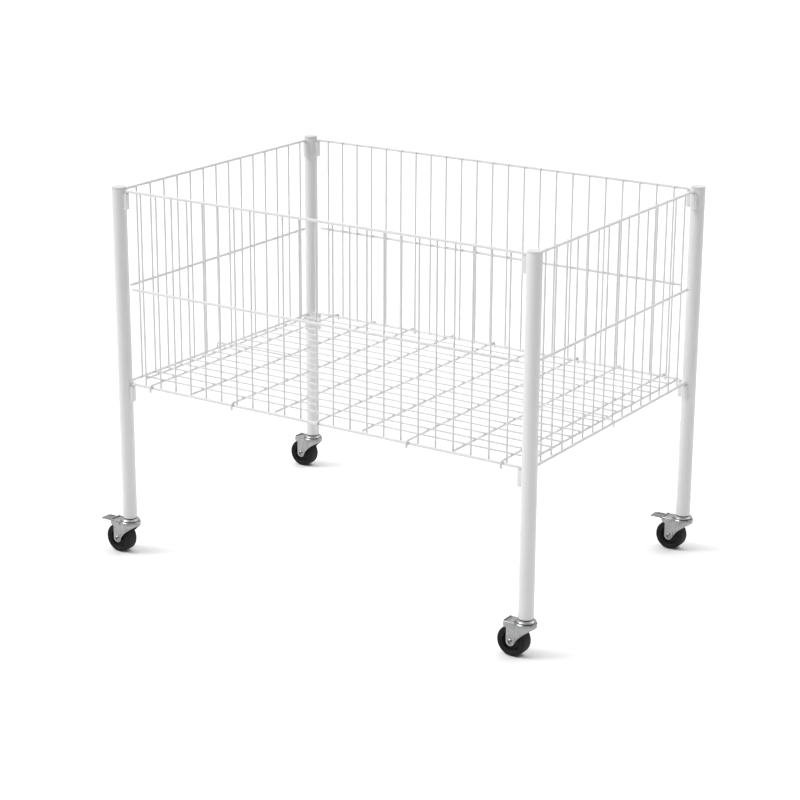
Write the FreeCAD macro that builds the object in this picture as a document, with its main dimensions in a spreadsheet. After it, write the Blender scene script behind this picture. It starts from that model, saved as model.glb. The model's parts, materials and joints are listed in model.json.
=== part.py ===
"""Retail dump bin: four round posts on swivel casters, four plug-in wire panels and a loose wire floor.

Frame of the part: +X along the long side, +Y across it, +Z up. The origin lies on the ground, halfway
between the four posts. Millimetres.
"""

import FreeCAD, Part
import math
import os
import re

import Sketcher

App = FreeCAD
Vector = App.Vector

# ---------------------------------------------------------------------------------------------
# Driving dimensions
# ---------------------------------------------------------------------------------------------
DIMENSIONS = {
    # posts
    "post_span_x": 970,
    "post_span_y": 670,
    "post_diameter": 30,
    "post_wall": 1.5,
    "post_length": 710,
    "cap_rim": 4,
    "cap_edge": 1.2,
    "cap_wall": 1.8,
    "cap_plug_length": 18,
    "insert_length": 28,
    "insert_flange": 1,
    "insert_step": 0.4,
    "insert_lead": 2,
    "fit": 0.05,
    # panels
    "rail_diameter": 6,
    "rail_bend": 5.5,
    "rail_leg": 35,
    "top_rail_drop": 4,
    "bottom_rail_rise": 298,
    "middle_rail_end": 28,
    "upright_diameter": 3.8,
    "upright_overrun": 2.5,
    "long_upright_count": 23,
    "long_upright_margin": 51.8,
    "left_upright_count": 14,
    "right_upright_count": 15,
    "short_upright_margin": 49,
    # sockets on the posts
    "socket_strip": 1.5,
    "socket_height": 33,
    "socket_play": 0.75,
    "socket_side_play": 0.5,
    "socket_bend": 2.5,
    "seat_gap": 0.18,
    # floor
    "floor_wire_diameter": 3.8,
    "floor_wire_count": 17,
    "floor_wire_pitch": 37.7,
    "floor_end_gap": 24,
    "cross_wire_diameter": 5,
    "cross_wire_half_count": 4,
    "floor_gap": 0.3,
    "hook_leg": 8.5,
    "end_hook_start": 273,
    "end_hook_reach": 6.6,
    "end_hook_leg": 4.6,
    "end_hook_offset": 15.1,
    "end_hook_bend": 6,
    # casters
    "wheel_diameter": 62,
    "tyre_width": 26,
    "tyre_shoulder": 2.5,
    "tyre_bead": 1.2,
    "hub_diameter": 44,
    "hub_width": 27,
    "hub_boss": 15,
    "hub_rim": 2.4,
    "hub_rim_inset": 1.5,
    "hub_web": 8.6,
    "hub_draft": 1,
    "axle_diameter": 6,
    "rivet_head": 12,
    "rivet_height": 2.4,
    "rivet_hollow": 5.6,
    "rivet_rim": 7.6,
    "rivet_floor": 0.6,
    "rivet_edge": 1,
    "trail": 25,
    "fork_width": 32,
    "fork_sheet": 2,
    "fork_rear": 41,
    "fork_front": 18,
    "fork_flange": 12,
    "flange_corner": 4,
    "fold_radius": 2.5,
    "slant_radius": 96,
    "slant_angle": 30,
    "leg_radius": 9,
    "leg_fillet": 2.5,
    "crown_clearance": 7,
    "ring_diameter": 44,
    "ring_rise": 2,
    "ring_edge": 0.8,
    "race_height": 9,
    "race_diameter": 39.5,
    "race_neck": 25,
    "race_gap": 0.4,
    "race_lip": 0.6,
    "stem_diameter": 10,
    "stem_length": 26,
    "stem_edge": 1,
    "kingpin_diameter": 8,
    "kingpin_head": 14,
    "kingpin_edge": 1.2,
    "kingpin_gap": 0.3,
    # brake
    "pedal_width": 25,
    "pedal_tip": 71,
    "pedal_thickness": 2,
    "pedal_corner": 5,
    "pedal_lip": 8,
    "pedal_droop": 1.2,
    "pivot_setback": 20,
    "pivot_drop": 3.4,
    "pivot_diameter": 4,
    "barrel_diameter": 6,
    "shoe_clearance": 4,
    "shoe_front": 36,
    "shoe_rear": 43.5,
    "shoe_draft": 2,
    "pin_head": 5.2,
    "pin_head_height": 0.4,
    "pin_edge": 0.3,
}

# Heights and reaches that follow from the driving dimensions, as expressions over them
AXLE_Z = "wheel_diameter / 2"
CROWN_UNDER = "(wheel_diameter + crown_clearance)"
CROWN_TOP = f"({CROWN_UNDER} + fork_sheet)"
RING_TOP = f"({CROWN_TOP} + ring_rise)"
RACE_TOP = f"({CROWN_TOP} + race_height)"
POST_FOOT = f"({RACE_TOP} + insert_flange)"
POST_TOP = f"({POST_FOOT} + post_length)"
TOP_RAIL_Z = f"({POST_TOP} - top_rail_drop)"
BOTTOM_RAIL_Z = f"({POST_FOOT} + bottom_rail_rise)"
MIDDLE_RAIL_Z = f"(({TOP_RAIL_Z} + {BOTTOM_RAIL_Z}) / 2)"
LEG_OFFSET = "(post_diameter / 2 + socket_play + rail_diameter / 2)"
SOCKET_INSIDE = f"({LEG_OFFSET} + rail_diameter / 2 + socket_play)"
SOCKET_HALF_GAP = "(rail_diameter / 2 + socket_side_play)"
UPRIGHT_INSET = "((rail_diameter + upright_diameter) / 2)"
LONG_PITCH = "((post_span_x - 2 * long_upright_margin) / (long_upright_count - 1))"
# The floor's cross wires step over the uprights: eight of the uprights' gaps hold three of theirs
CROSS_PITCH = f"({LONG_PITCH} * 8 / 3)"
FLOOR_SHIFT = f"({LONG_PITCH} / 6)"
FLOOR_HALF_LENGTH = "(post_span_x / 2 - floor_end_gap)"
HOOK_RADIUS = "((rail_diameter + cross_wire_diameter) / 2 + floor_gap)"
CROSS_Z = f"({BOTTOM_RAIL_Z} + {HOOK_RADIUS})"
FLOOR_WIRE_Z = f"({CROSS_Z} + (cross_wire_diameter + floor_wire_diameter) / 2)"

# The post that each corner stands at: sides of X and Y, and the quarter turn of its sockets
CORNERS = {
    "front_left": (-1, -1, 0),
    "front_right": (1, -1, 90),
    "back_right": (1, 1, 180),
    "back_left": (-1, 1, 270),
}
BRAKED = ("front_left", "back_right")

# Lengths closer than this are the same
SAME = 0.01

document = App.newDocument("dump_bin")
sheet = document.addObject("Spreadsheet::Sheet", "dims")
for row, (alias, number) in enumerate(DIMENSIONS.items(), start=1):
    sheet.set(f"A{row}", alias)
    sheet.set(f"B{row}", str(number))
    sheet.setAlias(f"B{row}", alias)
document.recompute()

sub_parts = []


# ---------------------------------------------------------------------------------------------
# Helpers
# ---------------------------------------------------------------------------------------------
def on_sheet(expression):
    """The expression with every dimension's name pointing at its cell."""
    return re.sub(r"[a-z][a-z_]+", lambda word: f"dims.{word[0]}" if word[0] in DIMENSIONS else word[0],
                  str(expression))


def value(expression):
    """The number that an expression over the dimensions has now."""
    return float(sheet.evalExpression(str(expression)))


def bind(thing, name, expression):
    """Keep one property equal to an expression over the dimensions."""
    thing.setExpression(name, on_sheet(expression))


def new_body(name):
    body = document.addObject("PartDesign::Body", name)
    body.AllowCompound = True
    return body


def origin_feature(body, role):
    return next(feature for feature in body.Origin.OriginFeatures if feature.Role == role)


def new_sketch(body, plane, name, offset=None):
    """An empty sketch on one of the body's own planes, or offset from it along its normal."""
    sketch = body.newObject("Sketcher::SketchObject", f"{body.Name}_{name}")
    sketch.AttachmentSupport = [(origin_feature(body, plane), "")]
    sketch.MapMode = "FlatFace"
    if offset is not None:
        bind(sketch, "AttachmentOffset.Base.z", offset)
    return sketch


def fix_point(sketch, geometry, end, x, y):
    """Hold one point of the sketch at two expressions."""
    for kind, expression in (("DistanceX", x), ("DistanceY", y)):
        index = sketch.addConstraint(Sketcher.Constraint(kind, -1, 1, geometry, end, value(expression)))
        bind(sketch, f"Constraints[{index}]", expression)


def fix_radius(sketch, geometry, radius):
    index = sketch.addConstraint(Sketcher.Constraint("Radius", geometry, value(radius)))
    bind(sketch, f"Constraints[{index}]", radius)


def add_circle(sketch, x, y, diameter):
    radius = f"({diameter}) / 2"
    circle = Part.Circle(Vector(value(x), value(y), 0), Vector(0, 0, 1), value(radius))
    geometry = sketch.addGeometry(circle, False)
    fix_point(sketch, geometry, 3, x, y)
    fix_radius(sketch, geometry, radius)


def add_path(sketch, corners, closed=True):
    """Lines and arcs through the corners. A corner (x, y) starts a line; a corner (x, y, (cx, cy, turn))
    starts an arc about (cx, cy), turn "ccw" or "cw"."""
    points = [Vector(value(corner[0]), value(corner[1]), 0) for corner in corners]
    edges = len(corners) if closed else len(corners) - 1
    ends = []
    for i in range(edges):
        start, finish = points[i], points[(i + 1) % len(points)]
        if len(corners[i]) == 2:
            geometry = sketch.addGeometry(Part.LineSegment(start, finish), False)
            ends.append((geometry, 1, 2))
            continue
        centre_x, centre_y, turn = corners[i][2]
        centre = Vector(value(centre_x), value(centre_y), 0)
        first, last = (start, finish) if turn == "ccw" else (finish, start)
        angles = [math.atan2(p.y - centre.y, p.x - centre.x) for p in (first, last)]
        circle = Part.Circle(centre, Vector(0, 0, 1), (start - centre).Length)
        geometry = sketch.addGeometry(Part.ArcOfCircle(circle, angles[0], angles[1]), False)
        radius = f"sqrt(({corners[i][0]} - ({centre_x}))^2 + ({corners[i][1]} - ({centre_y}))^2)"
        fix_radius(sketch, geometry, radius)
        ends.append((geometry, 1, 2) if turn == "ccw" else (geometry, 2, 1))
    for i in range(edges if closed else edges - 1):
        after = ends[(i + 1) % edges]
        sketch.addConstraint(Sketcher.Constraint("Coincident", ends[i][0], ends[i][2], after[0], after[1]))
    for i, (geometry, first, last) in enumerate(ends):
        fix_point(sketch, geometry, first, corners[i][0], corners[i][1])
    if not closed:
        fix_point(sketch, ends[-1][0], ends[-1][2], corners[-1][0], corners[-1][1])


def new_feature(body, kind, name):
    return body.newObject(f"PartDesign::{kind}", f"{body.Name}_{name}")


def pad(body, sketch, name, length, middle=False):
    feature = new_feature(body, "Pad", name)
    feature.Profile = sketch
    bind(feature, "Length", length)
    feature.Midplane = middle
    return feature


def pocket(body, sketch, name, length, middle=False):
    """A pocket; one that removes nothing is an error."""
    document.recompute()
    before = body.Shape.Volume
    feature = new_feature(body, "Pocket", name)
    feature.Profile = sketch
    bind(feature, "Length", length)
    feature.Midplane = middle
    document.recompute()
    if body.Shape.Volume > before - SAME:
        raise RuntimeError(f"{feature.Name} cuts nothing")
    return feature


def revolve(body, corners, name):
    """A solid turned about the body's Z axis from a profile of radii and heights."""
    sketch = new_sketch(body, "XZ_Plane", f"{name}_profile")
    add_path(sketch, corners)
    feature = new_feature(body, "Revolution", name)
    feature.Profile = sketch
    feature.ReferenceAxis = (sketch, ["V_Axis"])
    feature.Angle = 360
    return feature


def mirrored(corners):
    """The profile's other half, below the middle, in the order that closes the outline."""
    return [(radius, f"-({height})") for radius, height in reversed(corners)]


def row_of(body, originals, axis, length, count, name):
    """The features repeated in a straight row of the given overall length."""
    pattern = new_feature(body, "LinearPattern", name)
    pattern.Originals = originals
    pattern.Direction = (origin_feature(body, axis), [""])
    bind(pattern, "Length", length)
    bind(pattern, "Occurrences", count)
    body.Tip = pattern
    return pattern


def bent_wire(body, plane, corners, profile_plane, start, diameter, name, offset=None):
    """A round wire swept along an open path; start is (x, y, height) of its first end's section."""
    spine = new_sketch(body, plane, f"{name}_path", offset)
    add_path(spine, corners, closed=False)
    section = new_sketch(body, profile_plane, f"{name}_section", start[2])
    add_circle(section, start[0], start[1], diameter)
    feature = new_feature(body, "AdditivePipe", name)
    feature.Profile = section
    feature.Spine = (spine, [])
    return feature


def round_edges(body, base, radius, name, chosen):
    """A fillet on the edges of the body's last feature that a test picks by their middle and direction."""
    document.recompute()
    names = []
    for number, edge in enumerate(base.Shape.Edges, start=1):
        middle = edge.CenterOfMass
        ends = [vertex.Point for vertex in edge.Vertexes]
        if len(ends) == 2 and chosen(middle, ends[1] - ends[0]):
            names.append(f"Edge{number}")
    if not names:
        raise RuntimeError(f"{name}: no edge to round")
    feature = new_feature(body, "Fillet", name)
    feature.Base = (base, names)
    bind(feature, "Radius", radius)
    return feature


def place(thing, x=None, y=None, z=None, turn=0, axis=Vector(0, 0, 1)):
    """Turn a sub-part and bind its position."""
    thing.Placement = App.Placement(Vector(0, 0, 0), App.Rotation(axis, turn))
    for letter, expression in (("x", x), ("y", y), ("z", z)):
        if expression is not None:
            bind(thing, f"Placement.Base.{letter}", expression)


def place_at_post(thing, corner, turn=0):
    side_x, side_y, _ = CORNERS[corner]
    place(thing, f"{side_x} * post_span_x / 2", f"{side_y} * post_span_y / 2", turn=turn)


def keep(thing, label):
    thing.Label = label
    sub_parts.append(thing)


def keep_together(bodies, label):
    """One welded piece made of several wires that touch."""
    group = document.addObject("Part::Compound", label)
    group.Links = bodies
    keep(group, label)
    return group


# ---------------------------------------------------------------------------------------------
# Posts, caps, inserts and sockets
# ---------------------------------------------------------------------------------------------
def make_post(corner):
    body = new_body(f"post_{corner}")
    section = new_sketch(body, "XY_Plane", "section", POST_FOOT)
    add_circle(section, 0, 0, "post_diameter")
    add_circle(section, 0, 0, "post_diameter - 2 * post_wall")
    pad(body, section, "tube", "post_length")
    place_at_post(body, corner)
    keep(body, f"post_{corner}")


def make_cap(corner):
    """A flat plug cap: its rim sits on the tube's end, its hollow plug stands in the tube."""
    body = new_body(f"post_cap_{corner}")
    top = f"({POST_TOP} + cap_rim)"
    rim = "post_diameter / 2"
    plug = "(post_diameter / 2 - post_wall - fit)"
    hollow = f"({plug} - cap_wall)"
    foot = f"({POST_TOP} - cap_plug_length)"
    corners = [
        (0, top),
        (f"{rim} - cap_edge", top),
        (rim, f"{top} - cap_edge"),
        (rim, POST_TOP),
        (plug, POST_TOP),
        (plug, foot),
        (hollow, foot),
        (hollow, f"{top} - cap_wall"),
        (0, f"{top} - cap_wall"),
    ]
    revolve(body, corners, "turned")
    place_at_post(body, corner)
    keep(body, f"post_cap_{corner}")


def make_insert(corner):
    """The threaded plug in a post's lower end, with a thin flange under the tube."""
    body = new_body(f"caster_insert_{corner}")
    outside = "(post_diameter / 2 - post_wall - fit)"
    bore = "(stem_diameter / 2 + fit)"
    top = f"({POST_FOOT} + insert_length)"
    corners = [
        (bore, RACE_TOP),
        ("post_diameter / 2 - insert_step", RACE_TOP),
        ("post_diameter / 2 - insert_step", POST_FOOT),
        (outside, POST_FOOT),
        (outside, f"{top} - insert_lead"),
        (f"{outside} - insert_lead / 2", top),
        (bore, top),
    ]
    revolve(body, corners, "turned")
    place_at_post(body, corner)
    keep(body, f"caster_insert_{corner}")


def make_sockets(corner):
    """Four strip loops on one post: towards each neighbour, near the top and lower down."""
    body = new_body(f"sockets_{corner}")
    top = f"({TOP_RAIL_Z} - rail_bend + sqrt((rail_bend - rail_diameter / 2)^2" \
          f" - ({LEG_OFFSET} + rail_bend - {SOCKET_INSIDE})^2) - seat_gap)"
    foot_top = f"({top} - socket_height)"
    outside = f"({SOCKET_INSIDE} + socket_strip)"
    half = f"({SOCKET_HALF_GAP} + socket_strip)"
    inside = SOCKET_INSIDE
    gap = SOCKET_HALF_GAP
    post = "(post_diameter / 2)"
    on_post_half = f"sqrt({post}^2 - {half}^2)"
    on_post_gap = f"sqrt({post}^2 - {gap}^2)"
    bend = "socket_bend"
    inner_bend = "(socket_bend - socket_strip)"
    loop = [
        (on_post_half, f"-{half}"),
        (f"{outside} - {bend}", f"-{half}", (f"{outside} - {bend}", f"{bend} - {half}", "ccw")),
        (outside, f"{bend} - {half}"),
        (outside, f"{half} - {bend}", (f"{outside} - {bend}", f"{half} - {bend}", "ccw")),
        (f"{outside} - {bend}", half),
        (on_post_half, half, (0, 0, "cw")),
        (on_post_gap, gap),
        (f"{inside} - {inner_bend}", gap, (f"{inside} - {inner_bend}", f"{gap} - {inner_bend}", "cw")),
        (inside, f"{gap} - {inner_bend}"),
        (inside, f"{inner_bend} - {gap}", (f"{inside} - {inner_bend}", f"{inner_bend} - {gap}", "cw")),
        (f"{inside} - {inner_bend}", f"-{gap}"),
        (on_post_gap, f"-{gap}", (0, 0, "cw")),
    ]
    section = new_sketch(body, "XY_Plane", "loop_section", foot_top)
    add_path(section, loop)
    first = pad(body, section, "loop", "socket_height")
    quarter = new_feature(body, "MultiTransform", "loops")
    quarter.Originals = [first]
    turned = body.newObject("PartDesign::PolarPattern", f"{body.Name}_quarter")
    turned.Axis = (origin_feature(body, "Z_Axis"), [""])
    turned.Angle = 90
    turned.Occurrences = 2
    lowered = body.newObject("PartDesign::LinearPattern", f"{body.Name}_lowered")
    lowered.Direction = (origin_feature(body, "Z_Axis"), [""])
    lowered.Reversed = True
    bind(lowered, "Length", f"{TOP_RAIL_Z} - {BOTTOM_RAIL_Z}")
    lowered.Occurrences = 2
    quarter.Transformations = [turned, lowered]
    body.Tip = quarter
    place_at_post(body, corner, CORNERS[corner][2])
    keep(body, f"sockets_{corner}")


# ---------------------------------------------------------------------------------------------
# Wire panels
# ---------------------------------------------------------------------------------------------
def make_panel(side, span, count, margin, x, y, turn):
    """A wire panel in its own frame, then stood between its two posts: rails along its X, uprights
    welded on the side that faces the basket (+Y)."""
    uprights = new_body(f"panel_{side}_uprights")
    section = new_sketch(uprights, "XY_Plane", "section", f"{BOTTOM_RAIL_Z} - upright_overrun")
    add_circle(section, f"{margin} - {span} / 2", UPRIGHT_INSET, "upright_diameter")
    height = f"{TOP_RAIL_Z} - {BOTTOM_RAIL_Z} + 2 * upright_overrun"
    upright = pad(uprights, section, "upright", height)
    row_of(uprights, [upright], "X_Axis", f"{span} - 2 * {margin}", count, "row")

    rails = new_body(f"panel_{side}_rails")
    leg_x = f"({span} / 2 - {LEG_OFFSET})"
    rail_z = BOTTOM_RAIL_Z
    bend_x, bend_z = f"({leg_x} - rail_bend)", f"({rail_z} - rail_bend)"
    foot = f"{rail_z} - rail_leg"
    path = [
        (f"-{leg_x}", foot),
        (f"-{leg_x}", bend_z, (f"-{bend_x}", bend_z, "cw")),
        (f"-{bend_x}", rail_z),
        (bend_x, rail_z, (bend_x, bend_z, "cw")),
        (leg_x, bend_z),
        (leg_x, foot),
    ]
    rail = bent_wire(rails, "XZ_Plane", path, "XY_Plane", (f"-{leg_x}", 0, foot), "rail_diameter", "rail")
    row_of(rails, [rail], "Z_Axis", f"{TOP_RAIL_Z} - {BOTTOM_RAIL_Z}", 2, "pair")
    middle_section = new_sketch(rails, "YZ_Plane", "middle_section")
    add_circle(middle_section, 0, MIDDLE_RAIL_Z, "rail_diameter")
    middle = pad(rails, middle_section, "middle_rail", f"{span} - 2 * middle_rail_end", middle=True)
    rails.Tip = middle

    panel = keep_together([rails, uprights], f"panel_{side}")
    place(panel, x, y, turn=turn)


# ---------------------------------------------------------------------------------------------
# Floor grid
# ---------------------------------------------------------------------------------------------
def make_floor():
    """A loose grid: long wires on cross wires; every second cross wire and two short wires at the
    ends hook over the panels' bottom rails."""
    half_span = "(post_span_y / 2)"

    along = new_body("floor_long_wires")
    spread = "(floor_wire_pitch * (floor_wire_count - 1))"
    section = new_sketch(along, "YZ_Plane", "section", FLOOR_SHIFT)
    add_circle(section, f"-{spread} / 2", FLOOR_WIRE_Z, "floor_wire_diameter")
    wire = pad(along, section, "wire", f"2 * {FLOOR_HALF_LENGTH} + cross_wire_diameter", middle=True)
    row_of(along, [wire], "Y_Axis", spread, "floor_wire_count", "row")

    ends = new_body("floor_end_wires")
    section = new_sketch(ends, "XZ_Plane", "section")
    add_circle(section, f"{FLOOR_SHIFT} - {FLOOR_HALF_LENGTH}", CROSS_Z, "cross_wire_diameter")
    wire = pad(ends, section, "wire", f"{spread} + floor_wire_diameter", middle=True)
    row_of(ends, [wire], "X_Axis", f"2 * {FLOOR_HALF_LENGTH}", 2, "pair")

    plain = new_body("floor_plain_cross_wires")
    section = new_sketch(plain, "XZ_Plane", "section")
    add_circle(section, f"{FLOOR_SHIFT} - (cross_wire_half_count - 1) * {CROSS_PITCH}", CROSS_Z,
               "cross_wire_diameter")
    wire = pad(plain, section, "wire", f"2 * {half_span}", middle=True)
    row_of(plain, [wire], "X_Axis", f"2 * (cross_wire_half_count - 1) * {CROSS_PITCH}",
           "cross_wire_half_count", "row")

    hooked = new_body("floor_hooked_cross_wires")
    leg_y = f"({half_span} + {HOOK_RADIUS})"
    foot = f"{BOTTOM_RAIL_Z} - hook_leg"
    path = [
        (f"-{leg_y}", foot),
        (f"-{leg_y}", BOTTOM_RAIL_Z, (f"-{half_span}", BOTTOM_RAIL_Z, "cw")),
        (f"-{half_span}", CROSS_Z),
        (half_span, CROSS_Z, (half_span, BOTTOM_RAIL_Z, "cw")),
        (leg_y, BOTTOM_RAIL_Z),
        (leg_y, foot),
    ]
    first_x = f"({FLOOR_SHIFT} - cross_wire_half_count * {CROSS_PITCH})"
    wire = bent_wire(hooked, "YZ_Plane", path, "XY_Plane", (first_x, f"-{leg_y}", foot),
                     "cross_wire_diameter", "wire", first_x)
    row_of(hooked, [wire], "X_Axis", f"2 * cross_wire_half_count * {CROSS_PITCH}",
           "cross_wire_half_count + 1", "row")

    hooks = []
    for name, side, turn in (("left", -1, "ccw"), ("right", 1, "cw")):
        hook = new_body(f"floor_{name}_end_hook")
        leg_x = f"({side} * (post_span_x / 2 + end_hook_reach))"
        bend_x = f"({side} * (post_span_x / 2 + end_hook_reach - end_hook_bend))"
        start_x = f"({FLOOR_SHIFT} + {side} * end_hook_start)"
        path = [
            (start_x, FLOOR_WIRE_Z),
            (bend_x, FLOOR_WIRE_Z, (bend_x, f"{FLOOR_WIRE_Z} - end_hook_bend", turn)),
            (leg_x, f"{FLOOR_WIRE_Z} - end_hook_bend"),
            (leg_x, f"{BOTTOM_RAIL_Z} - end_hook_leg"),
        ]
        bent_wire(hook, "XZ_Plane", path, "YZ_Plane", ("-end_hook_offset", FLOOR_WIRE_Z, start_x),
                  "floor_wire_diameter", "wire", "end_hook_offset")
        hooks.append(hook)

    keep_together([along, ends, plain, hooked] + hooks, "floor_grid")


# ---------------------------------------------------------------------------------------------
# Casters
# ---------------------------------------------------------------------------------------------
def make_stem(corner):
    """Threaded stem, dished upper race and the kingpin riveted over under the fork's crown."""
    body = new_body(f"caster_stem_{corner}")
    stem, pin = "(stem_diameter / 2)", "(kingpin_diameter / 2)"
    head = "(kingpin_head / 2)"
    rim, neck = "(race_diameter / 2)", "(race_neck / 2)"
    head_top = f"({CROWN_UNDER} - kingpin_gap)"
    rim_foot = f"({RING_TOP} + race_gap)"
    rim_top = f"({rim_foot} + fork_sheet)"
    stem_top = f"({RACE_TOP} + stem_length)"
    corners = [
        (0, f"{head_top} - fork_sheet"),
        (f"{head} - kingpin_edge", f"{head_top} - fork_sheet"),
        (head, f"{head_top} - fork_sheet + kingpin_edge"),
        (head, head_top),
        (pin, head_top),
        (pin, f"{RACE_TOP} - fork_sheet"),
        (f"{neck} - fork_sheet / 2", f"{RACE_TOP} - fork_sheet"),
        (f"{rim} - fork_sheet", f"{rim_top} - race_lip"),
        (f"{rim} - fork_sheet", rim_foot),
        (rim, rim_foot),
        (rim, rim_top),
        (f"{rim} - (race_diameter - race_neck) / 4", f"({rim_top} + 2 * {RACE_TOP}) / 3"),
        (neck, RACE_TOP),
        (stem, RACE_TOP),
        (stem, f"{stem_top} - stem_edge"),
        (f"{stem} - stem_edge", stem_top),
        (0, stem_top),
    ]
    revolve(body, corners, "turned")
    place_at_post(body, corner)
    keep(body, f"caster_stem_{corner}")


def make_fork(corner):
    """A fork folded from sheet: crown with a ball ring, two legs down to the axle."""
    body = new_body(f"caster_fork_{corner}")
    rear, leg_rear = "(-fork_rear)", "(-trail - leg_radius)"
    flange_foot = f"({CROWN_TOP} - fork_flange)"
    fillet_x, fillet_z = f"({leg_rear} - leg_fillet)", f"({flange_foot} - leg_fillet)"
    sweep_x = "((leg_radius + slant_radius) * cos(slant_angle) - trail)"
    sweep_z = f"({AXLE_Z} - (leg_radius + slant_radius) * sin(slant_angle))"
    side_view = [
        (rear, CROWN_TOP),
        (rear, f"{flange_foot} + flange_corner"),
        (f"{rear} + flange_corner", flange_foot),
        (fillet_x, flange_foot, (fillet_x, fillet_z, "cw")),
        (leg_rear, fillet_z),
        (leg_rear, AXLE_Z, ("-trail", AXLE_Z, "ccw")),
        ("leg_radius * cos(slant_angle) - trail", f"{AXLE_Z} - leg_radius * sin(slant_angle)",
         (sweep_x, sweep_z, "cw")),
        ("fork_front", f"{sweep_z} + sqrt(slant_radius^2 - (fork_front - {sweep_x})^2)"),
        ("fork_front", CROWN_TOP),
    ]
    sketch = new_sketch(body, "XZ_Plane", "side_view")
    add_path(sketch, side_view)
    blank = pad(body, sketch, "blank", "fork_width", middle=True)
    rounded = round_edges(body, blank, "fold_radius", "folds",
                          lambda middle, along: abs(middle.z - value(CROWN_TOP)) < SAME
                          and abs(along.x) > abs(along.y))
    body.Tip = rounded

    channel = new_sketch(body, "XZ_Plane", "channel")
    add_path(channel, [
        ("-2 * fork_rear", 0),
        ("2 * fork_rear", 0),
        ("2 * fork_rear", CROWN_UNDER),
        ("-2 * fork_rear", CROWN_UNDER),
    ])
    pocket(body, channel, "inside", "fork_width - 2 * fork_sheet", middle=True)

    ring = "(ring_diameter / 2)"
    revolve(body, [
        ("kingpin_diameter / 2 + fit", CROWN_UNDER),
        (f"{ring} - fork_sheet", CROWN_UNDER),
        (ring, f"{CROWN_TOP} - ring_edge"),
        (ring, RING_TOP),
        (f"{ring} - fork_sheet", RING_TOP),
        (f"{ring} - fork_sheet", CROWN_TOP),
        ("kingpin_diameter / 2 + fit", CROWN_TOP),
    ], "ball_ring")

    king_hole = new_sketch(body, "XY_Plane", "kingpin_hole", f"{CROWN_TOP} + fork_sheet")
    add_circle(king_hole, 0, 0, "kingpin_diameter + 2 * fit")
    pocket(body, king_hole, "kingpin_bore", "3 * fork_sheet")

    holes = new_sketch(body, "XZ_Plane", "axle_hole")
    add_circle(holes, "-trail", AXLE_Z, "axle_diameter + 2 * fit")
    if corner in BRAKED:
        add_circle(holes, "-pivot_setback", f"{CROWN_UNDER} - pivot_drop", "pivot_diameter + 2 * fit")
    pocket(body, holes, "axle_bore", "2 * fork_width", middle=True)
    place_at_post(body, corner)
    keep(body, f"caster_fork_{corner}")


def place_on_axle(body, corner, x, z):
    """Lay a turned piece along Y, through one post's fork."""
    side_x, side_y, _ = CORNERS[corner]
    place(body, f"{side_x} * post_span_x / 2 - {x}", f"{side_y} * post_span_y / 2", z, -90, Vector(1, 0, 0))


def make_axle(corner):
    """A hollow-ended rivet through both legs of the fork."""
    body = new_body(f"caster_axle_{corner}")
    shaft, head = "(axle_diameter / 2)", "(rivet_head / 2)"
    seat, top = "(fork_width / 2)", "(fork_width / 2 + rivet_height)"
    half = [
        (0, f"{seat} + rivet_floor"),
        ("rivet_hollow / 2", f"{seat} + rivet_floor"),
        ("rivet_hollow / 2", top),
        ("rivet_rim / 2", top),
        (f"{head} - rivet_edge", f"{top} - rivet_edge"),
        (head, seat),
        (shaft, seat),
    ]
    revolve(body, half + mirrored(half), "turned")
    place_on_axle(body, corner, "trail", AXLE_Z)
    keep(body, f"caster_axle_{corner}")


def make_hub(corner):
    body = new_body(f"wheel_hub_{corner}")
    bore, boss = "(axle_diameter / 2 + fit)", "(hub_boss / 2)"
    rim = "(hub_diameter / 2 - fit)"
    inner = f"({rim} - hub_rim)"
    face, web, edge = "(hub_width / 2)", "(hub_web / 2)", "(tyre_width / 2 - hub_rim_inset)"
    quarter = [
        (bore, face),
        (boss, face),
        (f"{boss} + hub_draft", web),
        (f"{inner} - hub_draft", web),
        (inner, edge),
        (rim, edge),
    ]
    revolve(body, quarter + mirrored(quarter), "turned")
    place_on_axle(body, corner, "trail", AXLE_Z)
    keep(body, f"wheel_hub_{corner}")


def make_tyre(corner):
    body = new_body(f"wheel_tyre_{corner}")
    seat, tread = "(hub_diameter / 2)", "(wheel_diameter / 2)"
    side = "(tyre_width / 2)"
    shoulder_x, shoulder_y = f"({tread} - tyre_shoulder)", f"({side} - tyre_shoulder)"
    corners = [
        (seat, f"tyre_bead - {side}"),
        (f"{seat} + tyre_bead", f"-{side}"),
        (shoulder_x, f"-{side}"),
        (tread, f"-{shoulder_y}"),
        (tread, shoulder_y),
        (shoulder_x, side),
        (f"{seat} + tyre_bead", side),
        (seat, f"{side} - tyre_bead"),
    ]
    revolve(body, corners, "turned")
    place_on_axle(body, corner, "trail", AXLE_Z)
    keep(body, f"wheel_tyre_{corner}")


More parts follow.
